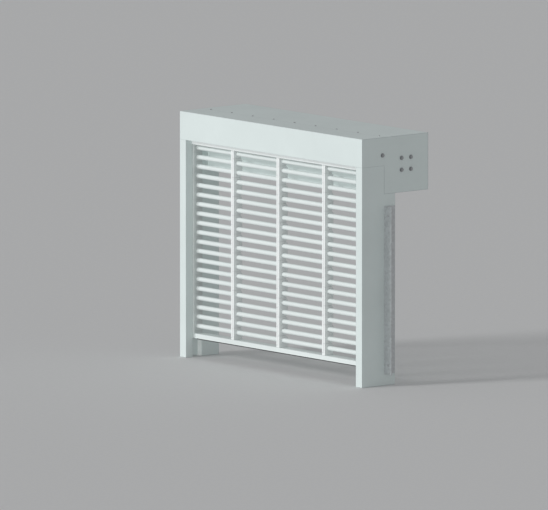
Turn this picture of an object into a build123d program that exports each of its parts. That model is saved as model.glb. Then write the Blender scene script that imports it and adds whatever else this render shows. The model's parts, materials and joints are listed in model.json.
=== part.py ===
from build123d import *
import math
import os

# Rolling security grille: a frame of two guide jambs and a header, a rear coil hood with a
# motorised barrel, and a curtain of round rods in chains of link plates that hang from lifting tapes.
# Millimetres, +Z up, +X across the width, -Y towards the front face.
# The origin is the bottom centre of the whole part.

# Frame
frame_width = 1524.0
frame_height = 1330.0
header_height = 152.4
jamb_width = 50.8
jamb_depth = 228.6
jamb_wall = 3.0
wall_depth = 152.4
groove_depth = 35.0
strip_thickness = 2.5
strip_setback = 4.0
rail_height = 25.4
rail_depth = 8.0
rail_wall = 1.5
rail_clearance = 2.0

# Coil hood behind the wall
hood_height = 304.8
hood_depth = 304.8
hood_mouth = 12.0
sheet = 1.5
plate = 4.0

# Wall angles that carry the frame
angle_flange = 60.0
angle_leg = 70.0
angle_thickness = 5.0
angle_height = 900.0
angle_base = 60.0
wall_hole_diameter = 11.0
wall_hole_inset = 50.0

# Curtain
curtain_setback = 50.8
rod_diameter = 25.4
rod_pitch = 50.8
link_width = 25.4
link_depth = 57.15
link_spacing = 381.0
link_joint = 0.8
link_relief = 12.0
link_hole_sides = 6
rod_fit = 0.2
shoe_width = 25.4
shoe_overhang = 8.0
shoe_clearance = 1.0
sill_gap = 95.0
seal_height = 8.0
seal_width = 22.0
seal_wall = 2.0
bottom_bar_height = 25.4
bottom_bar_wall = 3.0
slot_width = 12.0

# Lifting tapes
tape_width = 12.0
tape_thickness = 1.2
tape_gap = 0.3
tape_tail = 115.0
tape_wrap_angle = 40.0

# Guide roller that turns the tapes back to the barrel
roller_diameter = 60.0
roller_headroom = 5.0

# Barrel with the motor inside it, and its idle end
barrel_diameter = 101.6
motor_head_size = 84.0
motor_head_corner = 18.0
motor_head_length = 30.0
stub_diameter = 25.0
barrel_end_gap = 24.0
bracket_size = 96.0
bracket_thickness = 6.0
running_clearance = 0.3
overrun = 10.0

# Places worked out from the sizes above
half_width = frame_width / 2
opening_half = half_width - jamb_width
total_depth = wall_depth + hood_depth
front_y = -total_depth / 2
wall_back_y = front_y + wall_depth
hood_back_y = front_y + total_depth
header_z = frame_height - header_height
hood_z = frame_height - hood_height
mouth_z = header_z - hood_mouth
plate_inner_x = half_width - plate

link_front_y = front_y + curtain_setback
rod_y = link_front_y + link_depth / 2
link_back_y = link_front_y + link_depth
tape_back_y = link_back_y + tape_thickness
rail_back_y = link_front_y - rail_clearance
groove_width = link_depth + 2 * (shoe_clearance + strip_thickness)

shoe_inner_x = opening_half - shoe_overhang
bar_bottom_z = sill_gap + seal_height
bar_top_z = bar_bottom_z + bottom_bar_height
bar_z = bar_bottom_z + bottom_bar_height / 2

roller_radius = roller_diameter / 2
span_front_y = tape_back_y + tape_gap
span_back_y = span_front_y + tape_thickness
roller_y = span_back_y + tape_gap + roller_radius
roller_top_z = frame_height - sheet - roller_headroom - link_depth - 2 * (tape_thickness + tape_gap)
roller_z = roller_top_z - roller_radius
roller_end_x = plate_inner_x - running_clearance
barrel_y = wall_back_y + hood_depth / 2
barrel_z = hood_z + hood_height / 2
barrel_radius = barrel_diameter / 2
bracket_inner_x = plate_inner_x - bracket_thickness
barrel_left_x = -bracket_inner_x + motor_head_length + running_clearance
barrel_right_x = bracket_inner_x - barrel_end_gap

row_height = rod_pitch - link_joint
row_count = int((roller_z - bar_z) / rod_pitch)
row_heights = [bar_z + rod_pitch * row for row in range(1, row_count + 1)]
link_places = [-link_spacing, 0.0, link_spacing]
link_thickness = (link_width - link_joint) / 2
link_offset = (link_width + link_joint) / 4


def slab(x_range, y_range, z_range):
    """A rectangular solid between three pairs of limits."""
    size = [high - low for low, high in (x_range, y_range, z_range)]
    middle = [(low + high) / 2 for low, high in (x_range, y_range, z_range)]
    return Pos(*middle) * Box(*size)


def along_x(outline, x_low, x_high):
    """A sketch drawn as (y, z) on the side plane, drawn out from x_low to x_high."""
    return Pos(x_low, 0, 0) * extrude(Plane.YZ * outline, x_high - x_low)


def side_polygon(*points):
    """A closed outline whose points are (y, z)."""
    return make_face(Polyline(*points, close=True))


def shaft(radius, x_low, x_high, y, z):
    """A round bar along X."""
    return along_x(Pos(y, z) * Circle(radius), x_low, x_high)


def mirrored(shape):
    """The same piece on the other side of the frame."""
    return mirror(shape, about=Plane.YZ)


def make_left_jamb():
    """Hollow extrusion with the guide groove in its inner face, cut back behind for the hood."""
    middle_x = -half_width + jamb_width / 2
    middle_y = front_y + jamb_depth / 2
    groove = Pos(-opening_half - groove_depth / 2, rod_y) * Rectangle(groove_depth, groove_width)
    profile = Pos(middle_x, middle_y) * Rectangle(jamb_width, jamb_depth) - groove
    section = profile - offset(profile, -jamb_wall, kind=Kind.INTERSECTION)
    jamb = extrude(section, header_z)
    notch = slab(
        (-half_width - overrun, -opening_half + overrun),
        (wall_back_y, wall_back_y + hood_depth),
        (hood_z, header_z + overrun),
    )
    return jamb - notch


def make_left_wear_strips():
    """Two plastic strips that line the sides of the guide groove."""
    x_range = (-opening_half - groove_depth, -opening_half - strip_setback)
    front_wall = rod_y - groove_width / 2
    back_wall = rod_y + groove_width / 2
    front = slab(x_range, (front_wall, front_wall + strip_thickness), (0, header_z))
    back = slab(x_range, (back_wall - strip_thickness, back_wall), (0, header_z))
    return [front, back]


def make_header_panel():
    """Folded fascia: the front face, a top flange back to the hood and a lip for the head rail."""
    fold = side_polygon(
        (front_y, header_z),
        (front_y, frame_height),
        (wall_back_y, frame_height),
        (wall_back_y, frame_height - sheet),
        (front_y + sheet, frame_height - sheet),
        (front_y + sheet, header_z),
    )
    face = along_x(fold, -half_width, half_width)
    lip = slab(
        (-plate_inner_x, plate_inner_x),
        (front_y + sheet, rail_back_y),
        (header_z, header_z + sheet),
    )
    return face + lip


def make_head_rail():
    """Hollow rail across the top of the opening, in front of the curtain."""
    rail_y = rail_back_y - rail_depth / 2
    hollow = Rectangle(rail_depth - 2 * rail_wall, rail_height - 2 * rail_wall)
    outline = Rectangle(rail_depth, rail_height) - hollow
    return along_x(Pos(rail_y, header_z - rail_height / 2) * outline, -opening_half, opening_half)


def make_hood_cover():
    """One sheet folded round the coil space: front wall, floor, back and top."""
    fold = side_polygon(
        (wall_back_y, mouth_z),
        (wall_back_y, hood_z),
        (hood_back_y, hood_z),
        (hood_back_y, frame_height),
        (wall_back_y, frame_height),
        (wall_back_y, frame_height - sheet),
        (hood_back_y - sheet, frame_height - sheet),
        (hood_back_y - sheet, hood_z + sheet),
        (wall_back_y + sheet, hood_z + sheet),
        (wall_back_y + sheet, mouth_z),
    )
    return along_x(fold, -half_width, half_width)


def make_left_end_plate():
    """Steel plate that closes the header and the hood and carries the barrel and the roller."""
    outline = side_polygon(
        (front_y + sheet, header_z),
        (front_y + sheet, frame_height - sheet),
        (hood_back_y - sheet, frame_height - sheet),
        (hood_back_y - sheet, hood_z + sheet),
        (wall_back_y + sheet, hood_z + sheet),
        (wall_back_y + sheet, mouth_z),
        (wall_back_y, mouth_z),
        (wall_back_y, header_z),
    )
    return along_x(outline, -half_width, -plate_inner_x)


def wall_hole_heights():
    """Heights of the two wall bolts on each angle."""
    return [angle_base + wall_hole_inset, angle_base + angle_height - wall_hole_inset]


def make_left_wall_angle():
    """Steel angle on the jamb's outer side, with a drilled flange that lies on the back of the wall."""
    leg = slab(
        (-half_width - angle_thickness, -half_width),
        (wall_back_y, wall_back_y + angle_leg),
        (angle_base, angle_base + angle_height),
    )
    flange = slab(
        (-half_width - angle_flange, -half_width),
        (wall_back_y, wall_back_y + angle_thickness),
        (angle_base, angle_base + angle_height),
    )
    angle = leg + flange
    hole_x = -half_width - (angle_flange + angle_thickness) / 2
    for height in wall_hole_heights():
        drill = Cylinder(wall_hole_diameter / 2, angle_thickness + 2 * overrun)
        angle -= Pos(hole_x, wall_back_y + angle_thickness / 2, height) * Rot(90, 0, 0) * drill
    return angle


def make_rod(height):
    """One horizontal rod, which runs through the link blocks and butts on the end shoes."""
    return shaft(rod_diameter / 2, -shoe_inner_x, shoe_inner_x, rod_y, height)


def link_plane(x, number):
    """Middle of a link's plane: odd links lie on one side of the chain, even ones on the other."""
    return x - link_offset if number % 2 else x + link_offset


def make_plate(x, low, high, holes):
    """An upright plate with a hole for each rod, its rear corners cut so that the chain can bend."""
    outline = side_polygon(
        (link_front_y, low),
        (link_back_y - link_relief, low),
        (link_back_y, low + link_relief),
        (link_back_y, high - link_relief),
        (link_back_y - link_relief, high),
        (link_front_y, high),
    )
    hole = RegularPolygon(rod_diameter / 2 + rod_fit, link_hole_sides, major_radius=False)
    for height in holes:
        outline -= Pos(rod_y, height) * hole
    return along_x(outline, x - link_thickness / 2, x + link_thickness / 2)


def make_link_chain(x):
    """A chain of plates on two rods each, side by side in turn so that the curtain can bend."""
    plates = []
    for number in range(1, row_count):
        pair = row_heights[number - 1:number + 1]
        plates.append(
            make_plate(link_plane(x, number), pair[0] - row_height / 2, pair[1] + row_height / 2, pair)
        )
    return plates


def make_bottom_lugs():
    """Lugs on the bottom bar, each with one plate up to the lowest rod."""
    first = row_heights[0]
    z_range = (bar_top_z, first - row_height / 2 - link_joint)
    lugs = []
    for x in link_places:
        x_range = (x - link_width / 2, x + link_width / 2)
        seat = slab(x_range, (link_front_y, link_back_y), z_range)
        lugs.append(seat + make_plate(link_plane(x, 0), bar_top_z, first + row_height / 2, [first]))
    return lugs


def make_tape_hangers():
    """Plates on the top rod that the tapes are fixed to."""
    last = row_heights[-1]
    return [
        make_plate(link_plane(x, row_count), last - row_height / 2, last + row_height / 2, [last])
        for x in link_places
    ]


def make_left_shoes():
    """Plastic blocks on the rod ends, which run in the guide groove."""
    x_range = (-shoe_inner_x - shoe_width, -shoe_inner_x)
    return [
        slab(x_range, (link_front_y, link_back_y), (height - row_height / 2, height + row_height / 2))
        for height in row_heights
    ]


def make_bottom_bar():
    """Hollow extruded bar with a slot below for the seal."""
    cavity = Rectangle(link_depth - 2 * bottom_bar_wall, bottom_bar_height - 2 * bottom_bar_wall)
    slot = Pos(0, -bottom_bar_height / 2) * Rectangle(slot_width, 2 * bottom_bar_wall)
    outline = Rectangle(link_depth, bottom_bar_height) - cavity - slot
    return along_x(Pos(rod_y, bar_z) * outline, -shoe_inner_x, shoe_inner_x)


def make_bottom_shoes():
    """Plastic ends of the bottom bar, which reach up to the shoes of the lowest rod."""
    z_range = (bar_bottom_z, row_heights[0] - row_height / 2 - link_joint)
    left = slab((-shoe_inner_x - shoe_width, -shoe_inner_x), (link_front_y, link_back_y), z_range)
    return [left, mirrored(left)]


def make_bottom_seal():
    """Hollow rubber seal held in the bar's slot."""
    bulb = Pos(0, -seal_height / 2) * Rectangle(seal_width, seal_height)
    bore = Rectangle(seal_width - 2 * seal_wall, seal_height - 2 * seal_wall)
    hollow = Pos(0, -seal_height / 2) * bore
    stem = Pos(0, bottom_bar_wall / 2) * Rectangle(slot_width - 2 * rod_fit, bottom_bar_wall)
    return along_x(Pos(rod_y, bar_bottom_z) * (bulb - hollow + stem), -shoe_inner_x, shoe_inner_x)


def across_tape(outline, x):
    """A tape's side outline drawn out to the tape's width, in line with the hanger of the chain at x."""
    middle = link_plane(x, row_count)
    return along_x(outline, middle - tape_width / 2, middle + tape_width / 2)


def make_curtain_tapes():
    """The ends of the steel tapes, fixed to the backs of the hangers."""
    low = row_heights[-1] - row_height / 2 + link_relief
    outline = side_polygon(
        (link_back_y, low),
        (tape_back_y, low),
        (tape_back_y, roller_z),
        (link_back_y, roller_z),
    )
    return [across_tape(outline, x) for x in link_places]


def tape_tangent_angle(roller_reach, barrel_reach):
    """Direction, from both axes, of where a tape leaves the roller and meets the barrel."""
    run_y = barrel_y - roller_y
    run_z = barrel_z - roller_z
    slope = math.atan2(run_z, run_y)
    return slope + math.acos((roller_reach - barrel_reach) / math.hypot(run_y, run_z))


def on_circle(centre, radius, angle):
    """The point at an angle on a circle round centre."""
    return (centre[0] + radius * math.cos(angle), centre[1] + radius * math.sin(angle))


def make_tape_spans():
    """The stretch of each tape that goes up behind the curtain, over the roller and to the barrel."""
    roller = (roller_y, roller_z)
    barrel = (barrel_y, barrel_z)
    roller_reach = roller_radius + tape_gap + tape_thickness / 2
    barrel_reach = barrel_radius + tape_gap + tape_thickness / 2
    tangent = tape_tangent_angle(roller_reach, barrel_reach)
    front = on_circle(roller, roller_reach, math.pi)
    crest = on_circle(roller, roller_reach, (math.pi + tangent) / 2)
    leave = on_circle(roller, roller_reach, tangent)
    meet = on_circle(barrel, barrel_reach, tangent)
    wrap = math.radians(tape_wrap_angle)
    halfway = on_circle(barrel, barrel_reach, tangent - wrap / 2)
    end = on_circle(barrel, barrel_reach, tangent - wrap)
    path = (
        Line((front[0], front[1] - tape_tail), front)
        + ThreePointArc(front, crest, leave)
        + Line(leave, meet)
        + ThreePointArc(meet, halfway, end)
    )
    outline = trace(path, tape_thickness)
    return [across_tape(outline, x) for x in link_places]


def make_guide_roller():
    """Round roller between the end plates, with its bearings inside it."""
    return shaft(roller_radius, -roller_end_x, roller_end_x, roller_y, roller_z)


def make_barrel():
    """Round barrel that the tapes and the curtain wind onto, with a stub shaft at its idle end."""
    stub_end_x = plate_inner_x - running_clearance
    drum = shaft(barrel_radius, barrel_left_x, barrel_right_x, barrel_y, barrel_z)
    stub = shaft(stub_diameter / 2, barrel_right_x, stub_end_x, barrel_y, barrel_z)
    return drum + stub


def bracket_outline():
    """Side outline of the plates that carry the barrel."""
    return Pos(barrel_y, barrel_z) * Rectangle(bracket_size, bracket_size)


def make_motor_bracket():
    """Square plate on the left end plate that the motor's head is bolted to."""
    return along_x(bracket_outline(), -plate_inner_x, -bracket_inner_x)


def make_motor_head():
    """Fixed head of the tubular motor, whose body is inside the barrel: a block with cut corners."""
    block = chamfer(Rectangle(motor_head_size, motor_head_size).vertices(), motor_head_corner)
    outline = Pos(barrel_y, barrel_z) * block
    return along_x(outline, -bracket_inner_x, -bracket_inner_x + motor_head_length)


def make_bearing_bracket():
    """Square plate on the right end plate, bored for the stub shaft."""
    bore = Pos(barrel_y, barrel_z) * Circle(stub_diameter / 2 + running_clearance)
    return along_x(bracket_outline() - bore, bracket_inner_x, plate_inner_x)


def make_pieces():
    """Every node's name and its solids."""
    left_jamb = make_left_jamb()
    left_strips = make_left_wear_strips()
    left_plate = make_left_end_plate()
    left_angle = make_left_wall_angle()
    left_shoes = make_left_shoes()
    pieces = {
        "left_jamb": [left_jamb],
        "right_jamb": [mirrored(left_jamb)],
        "left_wear_strips": left_strips,
        "right_wear_strips": [mirrored(strip) for strip in left_strips],
        "header_panel": [make_header_panel()],
        "head_rail": [make_head_rail()],
        "hood_cover": [make_hood_cover()],
        "left_end_plate": [left_plate],
        "right_end_plate": [mirrored(left_plate)],
        "left_wall_angle": [left_angle],
        "right_wall_angle": [mirrored(left_angle)],
        "left_link_chain": make_link_chain(link_places[0]),
        "middle_link_chain": make_link_chain(link_places[1]),
        "right_link_chain": make_link_chain(link_places[2]),
        "bottom_lugs": make_bottom_lugs(),
        "tape_hangers": make_tape_hangers(),
        "left_end_shoes": left_shoes,
        "right_end_shoes": [mirrored(shoe) for shoe in left_shoes],
        "bottom_bar": [make_bottom_bar()],
        "bottom_bar_shoes": make_bottom_shoes(),
        "bottom_seal": [make_bottom_seal()],
        "curtain_tapes": make_curtain_tapes(),
        "tape_spans": make_tape_spans(),
        "guide_roller": [make_guide_roller()],
        "barrel": [make_barrel()],
        "motor_bracket": [make_motor_bracket()],
        "motor_head": [make_motor_head()],
        "bearing_bracket": [make_bearing_bracket()],
    }
    for number, height in enumerate(row_heights, start=1):
        pieces[f"rod_{number:02d}"] = [make_rod(height)]
    return pieces


def main():
    os.makedirs("parts", exist_ok=True)
    for name, solids in make_pieces().items():
        shape = solids[0] if len(solids) == 1 else Compound(children=solids)
        export_step(shape, f"parts/{name}.step")


main()
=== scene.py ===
"""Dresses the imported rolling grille: finishes for each slot, small fixings, floor, light and camera."""
import json
import math

import bmesh
import bpy
from mathutils import Matrix, Vector


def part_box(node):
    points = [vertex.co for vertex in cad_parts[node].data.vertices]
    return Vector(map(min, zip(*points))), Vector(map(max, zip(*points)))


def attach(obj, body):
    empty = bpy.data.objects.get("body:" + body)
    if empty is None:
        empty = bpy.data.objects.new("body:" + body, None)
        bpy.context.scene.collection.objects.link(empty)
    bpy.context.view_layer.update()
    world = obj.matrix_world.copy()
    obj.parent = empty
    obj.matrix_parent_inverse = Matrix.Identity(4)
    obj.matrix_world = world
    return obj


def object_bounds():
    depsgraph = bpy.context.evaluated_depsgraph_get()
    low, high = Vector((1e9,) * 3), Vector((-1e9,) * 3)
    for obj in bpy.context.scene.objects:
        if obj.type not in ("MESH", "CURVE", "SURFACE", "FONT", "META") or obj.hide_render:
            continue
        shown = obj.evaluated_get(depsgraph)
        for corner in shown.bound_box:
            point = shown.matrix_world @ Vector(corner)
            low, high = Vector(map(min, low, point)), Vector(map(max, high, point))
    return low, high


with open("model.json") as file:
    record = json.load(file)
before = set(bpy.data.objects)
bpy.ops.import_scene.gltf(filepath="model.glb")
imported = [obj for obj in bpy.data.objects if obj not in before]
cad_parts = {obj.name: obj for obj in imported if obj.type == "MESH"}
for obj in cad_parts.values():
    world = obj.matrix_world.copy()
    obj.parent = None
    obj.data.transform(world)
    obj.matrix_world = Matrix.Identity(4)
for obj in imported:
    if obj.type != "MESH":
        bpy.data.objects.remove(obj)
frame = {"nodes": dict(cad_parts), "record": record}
cad_low, cad_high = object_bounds()
scene = bpy.context.scene

# View of the photograph, in degrees, pixels and metres
VIEW_AZIMUTH = 50.4
VIEW_ELEVATION = 7.87
METRES_PER_PIXEL = 0.005338
IMAGE_SIZE = (548, 510)
SILL_CENTRE_PIXEL = (270.5, 372.2)
LENS_LENGTH = 1300.0
SENSOR_WIDTH = 36.0
CLIP_FACTOR = 4

# Surround: its colour, and its strength as a light and where it is seen
SURROUND_COLOUR = (0.97, 0.985, 1.0, 1.0)
SURROUND_LIGHT = 0.37
SURROUND_SEEN = 0.395

# Distant lamps: energy, softness in degrees, the way that they shine, and whether they are full lamps,
# which make highlights and shadows
SUNS = {
    "key": (1.05, 14, (0.30, 0.85, -0.42), True),
    "front": (0.94, 24, (0.08, 0.99, -0.10), False),
    "fill": (0.30, 30, (-0.763, 0.631, -0.137), False),
}

# Floor, in metres
FLOOR_SIZE = 80
FLOOR_HEIGHT = -0.001

# Edges of all finishes, in metres, and the wear of painted ones: its reach in metres, its tint of the
# paint, and the lean of the rounded normal at which it is full and gone
EDGE_ROUNDING = 0.0009
EDGE_WEAR_RADIUS = 0.004
EDGE_WEAR_TINT = (0.72, 0.73, 0.74, 1.0)
EDGE_WEAR_FULL = 0.8
EDGE_WEAR_GONE = 0.97

# Sides of the small turned pieces
HEXAGON = 6
SCREW_SIDES = 24
ROUND_SIDES = 32

# Button-head screws along the sheet seams, in metres, with their dome in shares of radius and height
SCREW_RADIUS = 0.0055
SCREW_HEIGHT = 0.0028
SCREW_DOME_SHARES = ((1.0, 0.0), (1.0, 0.25), (0.9, 0.62), (0.66, 0.92), (0.45, 1.0))
SOCKET_RADIUS = 0.0022
SOCKET_DEPTH = 0.0016
SEAM_INSET = 0.014
SEAM_END = 0.06
SEAM_COUNT = 9

# Hexagon bolts on the wall angles and the end plates, in metres, with the washer's edge in shares
BOLT_RADIUS = 0.0092
BOLT_HEIGHT = 0.0064
BOLT_CHAMFER = 0.0009
WASHER_RADIUS = 0.0120
WASHER_HEIGHT = 0.0020
WASHER_SIDE_SHARE = 0.7
WASHER_EDGE_SHARE = 0.3
ANGLE_THICKNESS = 0.005
ANGLE_BOLT_INSET = 0.11
ANGLE_BOLT_COUNT = 4
BRACKET_BOLT_INSET = 0.016

# Gland for the motor's cord, in metres, with its cap in shares of radius and height
GLAND_RADIUS = 0.0135
GLAND_BODY = 0.008
GLAND_CAP_RADIUS = 0.0112
GLAND_CAP_HEIGHT = 0.013
GLAND_CAP_SHARES = ((1.0, 0.0), (1.0, 0.55), (0.92, 0.8), (0.7, 1.0))
GLAND_MOUTH_RADIUS = 0.0052
GLAND_MOUTH_DEPTH = 0.008
GLAND_DROP = 0.026


class Shader:
    """A node material with the few helpers that the finishes below share."""

    def __init__(self, name):
        self.material = bpy.data.materials.new(name)
        self.material.use_nodes = True
        self.nodes = self.material.node_tree.nodes
        self.links = self.material.node_tree.links
        self.bsdf = self.nodes["Principled BSDF"]
        self.coords = self.nodes.new("ShaderNodeTexCoord").outputs["Object"]

    def set(self, **values):
        """Sets constant sockets of the surface shader."""
        for socket, value in values.items():
            self.bsdf.inputs[socket.replace("_", " ")].default_value = value

    def scaled(self, scale):
        """Object coordinates stretched by a scale on each axis."""
        node = self.nodes.new("ShaderNodeMapping")
        node.inputs["Scale"].default_value = scale
        self.links.new(self.coords, node.inputs["Vector"])
        return node.outputs["Vector"]

    def noise(self, scale, detail=3.0, stretch=(1, 1, 1)):
        """A noise value over the surface, scale in cycles per metre."""
        node = self.nodes.new("ShaderNodeTexNoise")
        node.inputs["Scale"].default_value = scale
        node.inputs["Detail"].default_value = detail
        self.links.new(self.scaled(stretch), node.inputs["Vector"])
        return node.outputs["Fac"]

    def cells(self, scale):
        """A random value for each cell of a crystal-like pattern."""
        node = self.nodes.new("ShaderNodeTexVoronoi")
        node.inputs["Scale"].default_value = scale
        self.links.new(self.coords, node.inputs["Vector"])
        split = self.nodes.new("ShaderNodeSeparateColor")
        self.links.new(node.outputs["Color"], split.inputs["Color"])
        return split.outputs["Red"]

    def ramp(self, value, low, high, start=0.3, end=0.7):
        """Maps a value to colours or greys between low and high."""
        node = self.nodes.new("ShaderNodeValToRGB")
        stops = node.color_ramp.elements
        stops[0].position = start
        stops[0].color = low
        stops[1].position = end
        stops[1].color = high
        self.links.new(value, node.inputs["Fac"])
        return node.outputs["Color"]

    def edges(self, radius):
        """A value of one on flat faces that falls along edges, over about the radius in metres."""
        rounded = self.nodes.new("ShaderNodeBevel")
        rounded.samples = 8
        rounded.inputs["Radius"].default_value = radius
        surface = self.nodes.new("ShaderNodeNewGeometry")
        lean = self.nodes.new("ShaderNodeVectorMath")
        lean.operation = "DOT_PRODUCT"
        self.links.new(rounded.outputs["Normal"], lean.inputs[0])
        self.links.new(surface.outputs["Normal"], lean.inputs[1])
        return lean.outputs["Value"]

    def multiplied(self, first, second):
        """Two colours multiplied together."""
        node = self.nodes.new("ShaderNodeVectorMath")
        node.operation = "MULTIPLY"
        self.links.new(first, node.inputs[0])
        self.links.new(second, node.inputs[1])
        return node.outputs["Vector"]

    def to(self, value, socket):
        """Links a value to a socket of the surface shader."""
        self.links.new(value, self.bsdf.inputs[socket])

    def bump(self, height, strength, distance):
        """Surface relief from a height, over edges that are slightly rounded."""
        edge = self.nodes.new("ShaderNodeBevel")
        edge.samples = 4
        edge.inputs["Radius"].default_value = EDGE_ROUNDING
        node = self.nodes.new("ShaderNodeBump")
        node.inputs["Strength"].default_value = strength
        node.inputs["Distance"].default_value = distance
        self.links.new(height, node.inputs["Height"])
        self.links.new(edge.outputs["Normal"], node.inputs["Normal"])
        self.links.new(node.outputs["Normal"], self.bsdf.inputs["Normal"])


def grey(value):
    """A neutral colour."""
    return (value, value, value, 1.0)


def tinted(colour, factor):
    """A colour made lighter or darker."""
    return tuple(channel * factor for channel in colour) + (1.0,)


def powder_coat(name, colour, roughness):
    """Satin powder coat: fine orange peel, soft blotches and paint worn a little along the edges."""
    shader = Shader(name)
    blotch = shader.noise(scale=3.0, detail=5.0)
    paint = shader.ramp(blotch, tinted(colour, factor=0.965), tinted(colour, factor=1.03))
    lean = shader.edges(EDGE_WEAR_RADIUS)
    wear = shader.ramp(lean, EDGE_WEAR_TINT, grey(1.0), start=EDGE_WEAR_FULL, end=EDGE_WEAR_GONE)
    shader.to(shader.multiplied(paint, wear), "Base Color")
    sheen = shader.noise(scale=22.0)
    shader.to(shader.ramp(sheen, grey(roughness - 0.03), grey(roughness + 0.04)), "Roughness")
    peel = shader.noise(scale=650.0, detail=2.0)
    shader.bump(peel, strength=0.16, distance=0.0004)
    shader.set(Specular_IOR_Level=0.3)
    return shader.material


def zinc_coat(name, colour):
    """Galvanised steel with its spangle."""
    shader = Shader(name)
    spangle = shader.cells(scale=85.0)
    dark = tinted(colour, factor=0.9)
    light = tinted(colour, factor=1.07)
    shader.to(shader.ramp(spangle, dark, light, start=0.0, end=1.0), "Base Color")
    shader.to(shader.ramp(spangle, grey(0.34), grey(0.52), start=0.0, end=1.0), "Roughness")
    shader.bump(shader.noise(scale=140.0), strength=0.12, distance=0.0004)
    shader.set(Metallic=0.7)
    return shader.material


def bright_steel(name, colour):
    """Drawn steel with fine lines along X."""
    shader = Shader(name)
    lines = shader.noise(scale=300.0, detail=4.0, stretch=(0.04, 1, 1))
    shader.to(shader.ramp(lines, tinted(colour, factor=0.88), tinted(colour, factor=1.08)), "Base Color")
    shader.to(shader.ramp(lines, grey(0.26), grey(0.40)), "Roughness")
    shader.bump(lines, strength=0.1, distance=0.0003)
    shader.set(Metallic=1.0)
    return shader.material


def moulded(name, colour, roughness, grain=420.0):
    """Matte moulded plastic or rubber with a fine grain."""
    shader = Shader(name)
    cloud = shader.noise(scale=14.0)
    shader.to(shader.ramp(cloud, tinted(colour, factor=0.93), tinted(colour, factor=1.06)), "Base Color")
    sheen = shader.noise(scale=60.0)
    shader.to(shader.ramp(sheen, grey(roughness - 0.06), grey(roughness + 0.06)), "Roughness")
    shader.bump(shader.noise(scale=grain), strength=0.2, distance=0.0005)
    return shader.material


FINISHES = {
    "frame_paint": powder_coat("frame_paint", (0.69, 0.76, 0.75), 0.50),
    "curtain_paint": powder_coat("curtain_paint", (0.84, 0.87, 0.865), 0.42),
    "rod_paint": powder_coat("rod_paint", (0.745, 0.80, 0.79), 0.38),
    "shoe_plastic": moulded("shoe_plastic", (0.62, 0.66, 0.65), 0.55),
    "guide_plastic": moulded("guide_plastic", (0.66, 0.70, 0.69), 0.6),
    "seal_rubber": moulded("seal_rubber", (0.03, 0.03, 0.03), 0.75, grain=260.0),
    "galvanised_steel": zinc_coat("galvanised_steel", (0.60, 0.62, 0.63)),
    "bare_steel": bright_steel("bare_steel", (0.45, 0.46, 0.47)),
    "motor_case": powder_coat("motor_case", (0.10, 0.11, 0.12), 0.4),
}

# Nodes with the tone of another slot's paint
TONED_NODES = {"bottom_bar": "rod_paint"}


def dress_nodes():
    """Gives every carried-over node the finish of its slot."""
    for part in frame["record"]["subparts"]:
        node = frame["nodes"][part["node"]]
        finish = TONED_NODES.get(part["node"], part["material_slot"])
        node.data.materials.clear()
        node.data.materials.append(FINISHES[finish])


def turn(mesh, profile, segments, smooth):
    """Adds a shape turned round Z from (radius, height) points to a mesh."""
    rings = []
    for radius, height in profile:
        ring = []
        for step in range(segments):
            angle = 2 * math.pi * step / segments
            ring.append(mesh.verts.new((radius * math.cos(angle), radius * math.sin(angle), height)))
        rings.append(ring)
    faces = [mesh.faces.new(list(reversed(rings[0]))), mesh.faces.new(rings[-1])]
    for lower, upper in zip(rings, rings[1:]):
        for step in range(segments):
            after = (step + 1) % segments
            faces.append(mesh.faces.new((lower[step], lower[after], upper[after], upper[step])))
    for face in faces:
        face.smooth = smooth


def shared(shares, radius, height, base=0.0):
    """Profile points from shares of a radius and of a height above a base."""
    return [(radius * across, base + height * up) for across, up in shares]


def finish_mesh(name, mesh, slot):
    """Turns a built mesh into mesh data with the finish of a slot."""
    data = bpy.data.meshes.new(name)
    mesh.to_mesh(data)
    mesh.free()
    data.materials.append(FINISHES[slot])
    return data


def turn_hexagon(mesh, radius, low, high):
    """Adds a hexagon with a chamfered top to a mesh."""
    profile = [
        (radius, low),
        (radius, high - BOLT_CHAMFER),
        (radius - 2 * BOLT_CHAMFER, high),
    ]
    turn(mesh, profile, HEXAGON, False)


def make_screw_mesh():
    """A button head with a round socket."""
    mesh = bmesh.new()
    socket = [(SOCKET_RADIUS, SCREW_HEIGHT), (SOCKET_RADIUS, SCREW_HEIGHT - SOCKET_DEPTH)]
    turn(mesh, shared(SCREW_DOME_SHARES, SCREW_RADIUS, SCREW_HEIGHT) + socket, SCREW_SIDES, True)
    return finish_mesh("button_screw", mesh, "bare_steel")


def make_bolt_mesh():
    """A hexagon head on a round washer."""
    mesh = bmesh.new()
    washer = [
        (WASHER_RADIUS, 0.0),
        (WASHER_RADIUS, WASHER_HEIGHT * WASHER_SIDE_SHARE),
        (WASHER_RADIUS - WASHER_HEIGHT * WASHER_EDGE_SHARE, WASHER_HEIGHT),
    ]
    turn(mesh, washer, ROUND_SIDES, False)
    turn_hexagon(mesh, BOLT_RADIUS, WASHER_HEIGHT, WASHER_HEIGHT + BOLT_HEIGHT)
    return finish_mesh("hexagon_bolt", mesh, "bare_steel")


def make_gland_mesh():
    """A hexagon body with a round cap nut, open at its mouth."""
    mesh = bmesh.new()
    turn_hexagon(mesh, GLAND_RADIUS, 0.0, GLAND_BODY)
    top = GLAND_BODY + GLAND_CAP_HEIGHT
    mouth = [(GLAND_MOUTH_RADIUS, top), (GLAND_MOUTH_RADIUS, top - GLAND_MOUTH_DEPTH)]
    cap = shared(GLAND_CAP_SHARES, GLAND_CAP_RADIUS, GLAND_CAP_HEIGHT, GLAND_BODY)
    turn(mesh, cap + mouth, ROUND_SIDES, False)
    return finish_mesh("cord_gland", mesh, "motor_case")


SCREW_MESH = make_screw_mesh()
BOLT_MESH = make_bolt_mesh()
GLAND_MESH = make_gland_mesh()


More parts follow.
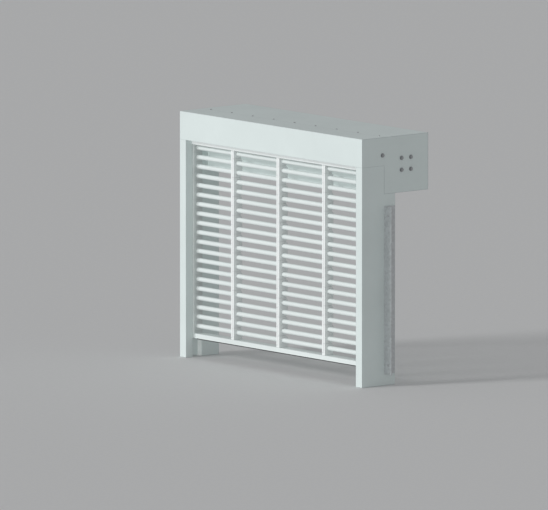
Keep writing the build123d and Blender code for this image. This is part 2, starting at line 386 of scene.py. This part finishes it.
def add_fixing(name, mesh, place, outward):
    """A screw, bolt or gland that stands on a face at place."""
    fixing = bpy.data.objects.new(name, mesh)
    turned = Vector(outward).to_track_quat("Z", "Y").to_matrix().to_4x4()
    fixing.matrix_world = Matrix.Translation(place) @ turned
    scene.collection.objects.link(fixing)
    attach(fixing, "frame")


def add_hood_screws():
    """Rows of screws along the seams of the header and the hood."""
    hood_low, hood_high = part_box("hood_cover")
    span = hood_high.x - hood_low.x - 2 * SEAM_END
    for number in range(SEAM_COUNT):
        x = hood_low.x + SEAM_END + span * number / (SEAM_COUNT - 1)
        top = Vector((x, hood_low.y + SEAM_INSET, hood_high.z))
        add_fixing(f"top_screw_{number + 1}", SCREW_MESH, top, (0, 0, 1))
        back = Vector((x, hood_high.y, hood_low.z + SEAM_INSET))
        add_fixing(f"back_screw_{number + 1}", SCREW_MESH, back, (0, 1, 0))


def add_side_bolts(side, outward, angle_name, bracket_name):
    """Bolts through a wall angle's leg, and through the end plate into the bracket and the roller."""
    angle_low, angle_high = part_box(angle_name)
    plate_low, plate_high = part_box(f"{side}_end_plate")
    plate_x = plate_high.x if outward > 0 else plate_low.x
    leg_x = plate_x + outward * ANGLE_THICKNESS
    leg_y = (angle_low.y + angle_high.y) / 2
    rise = angle_high.z - angle_low.z - 2 * ANGLE_BOLT_INSET
    for number in range(ANGLE_BOLT_COUNT):
        z = angle_low.z + ANGLE_BOLT_INSET + rise * number / (ANGLE_BOLT_COUNT - 1)
        name = f"{side}_angle_bolt_{number + 1}"
        add_fixing(name, BOLT_MESH, Vector((leg_x, leg_y, z)), (outward, 0, 0))
    low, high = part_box(bracket_name)
    corners = []
    for y in (low.y + BRACKET_BOLT_INSET, high.y - BRACKET_BOLT_INSET):
        for z in (low.z + BRACKET_BOLT_INSET, high.z - BRACKET_BOLT_INSET):
            corners.append((y, z))
    for number, (y, z) in enumerate(corners, start=1):
        name = f"{side}_bracket_bolt_{number}"
        add_fixing(name, BOLT_MESH, Vector((plate_x, y, z)), (outward, 0, 0))
    roller_low, roller_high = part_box("guide_roller")
    roller = (roller_low + roller_high) / 2
    place = Vector((plate_x, roller.y, roller.z))
    add_fixing(f"{side}_roller_bolt", BOLT_MESH, place, (outward, 0, 0))


def add_cord_gland():
    """The gland below the motor's bracket, on the outside of the left end plate."""
    low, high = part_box("motor_bracket")
    plate_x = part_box("left_end_plate")[0].x
    place = Vector((plate_x, (low.y + high.y) / 2, low.z - GLAND_DROP))
    add_fixing("cord_gland", GLAND_MESH, place, (-1, 0, 0))


def add_floor():
    """A plain grey floor under the jambs, wide enough to fill the view."""
    shader = Shader("floor")
    shader.to(shader.ramp(shader.noise(scale=45.0), grey(0.70), grey(0.72)), "Base Color")
    shader.set(Roughness=0.9, Specular_IOR_Level=0.2)
    bpy.ops.mesh.primitive_plane_add(size=FLOOR_SIZE, location=(0, 0, FLOOR_HEIGHT))
    floor = bpy.context.object
    floor.name = "floor"
    floor.data.materials.append(shader.material)


def add_sun(name, energy, spread, direction, full):
    """A distant lamp, softened over a spread in degrees; a full one makes highlights and shadows."""
    sun = bpy.data.objects.new(name, bpy.data.lights.new(name, "SUN"))
    sun.data.energy = energy
    sun.data.angle = math.radians(spread)
    sun.data.use_shadow = full
    sun.visible_glossy = full
    sun.rotation_euler = Vector(direction).to_track_quat("-Z", "Y").to_euler()
    scene.collection.objects.link(sun)


def add_surround():
    """An even surround that lights at one strength and is seen, also in reflections, at another."""
    world = bpy.data.worlds.new("studio")
    world.use_nodes = True
    nodes = world.node_tree.nodes
    links = world.node_tree.links
    path = nodes.new("ShaderNodeLightPath")
    seen = path.outputs["Is Camera Ray"]
    for ray in ("Is Glossy Ray", "Is Transmission Ray"):
        either = nodes.new("ShaderNodeMath")
        either.operation = "MAXIMUM"
        links.new(seen, either.inputs[0])
        links.new(path.outputs[ray], either.inputs[1])
        seen = either.outputs["Value"]
    strength = nodes.new("ShaderNodeMapRange")
    strength.inputs["To Min"].default_value = SURROUND_LIGHT
    strength.inputs["To Max"].default_value = SURROUND_SEEN
    links.new(seen, strength.inputs["Value"])
    background = nodes["Background"]
    background.inputs["Color"].default_value = SURROUND_COLOUR
    links.new(strength.outputs["Result"], background.inputs["Strength"])
    scene.world = world


def add_light():
    """Soft studio light: a high key from the left front, and two low lamps that only brighten."""
    for name, (energy, spread, direction, full) in SUNS.items():
        add_sun(name, energy, spread, direction, full)


def add_camera():
    """A nearly parallel view from the right front and a little above, framed as the photograph is."""
    azimuth = math.radians(VIEW_AZIMUTH)
    elevation = math.radians(VIEW_ELEVATION)
    right = Vector((math.cos(azimuth), math.sin(azimuth), 0))
    back = Vector(
        (
            math.sin(azimuth) * math.cos(elevation),
            -math.cos(azimuth) * math.cos(elevation),
            math.sin(elevation),
        )
    )
    up = back.cross(right)
    sill_centre = Vector((0, cad_low.y, 0))
    across = (IMAGE_SIZE[0] / 2 - SILL_CENTRE_PIXEL[0]) * METRES_PER_PIXEL
    rise = (SILL_CENTRE_PIXEL[1] - IMAGE_SIZE[1] / 2) * METRES_PER_PIXEL
    distance = IMAGE_SIZE[0] * METRES_PER_PIXEL * LENS_LENGTH / SENSOR_WIDTH
    data = bpy.data.cameras.new("camera")
    data.lens = LENS_LENGTH
    data.sensor_width = SENSOR_WIDTH
    data.clip_end = CLIP_FACTOR * distance
    camera = bpy.data.objects.new("camera", data)
    camera.location = sill_centre + right * across + up * rise + back * distance
    camera.rotation_mode = "QUATERNION"
    camera.rotation_quaternion = (-back).to_track_quat("-Z", "Y")
    scene.collection.objects.link(camera)
    scene.camera = camera


dress_nodes()
add_hood_screws()
add_side_bolts("left", -1, "left_wall_angle", "motor_bracket")
add_side_bolts("right", 1, "right_wall_angle", "bearing_bracket")
add_cord_gland()
add_floor()
add_surround()
add_light()
add_camera()
scene.view_settings.view_transform = "Standard"
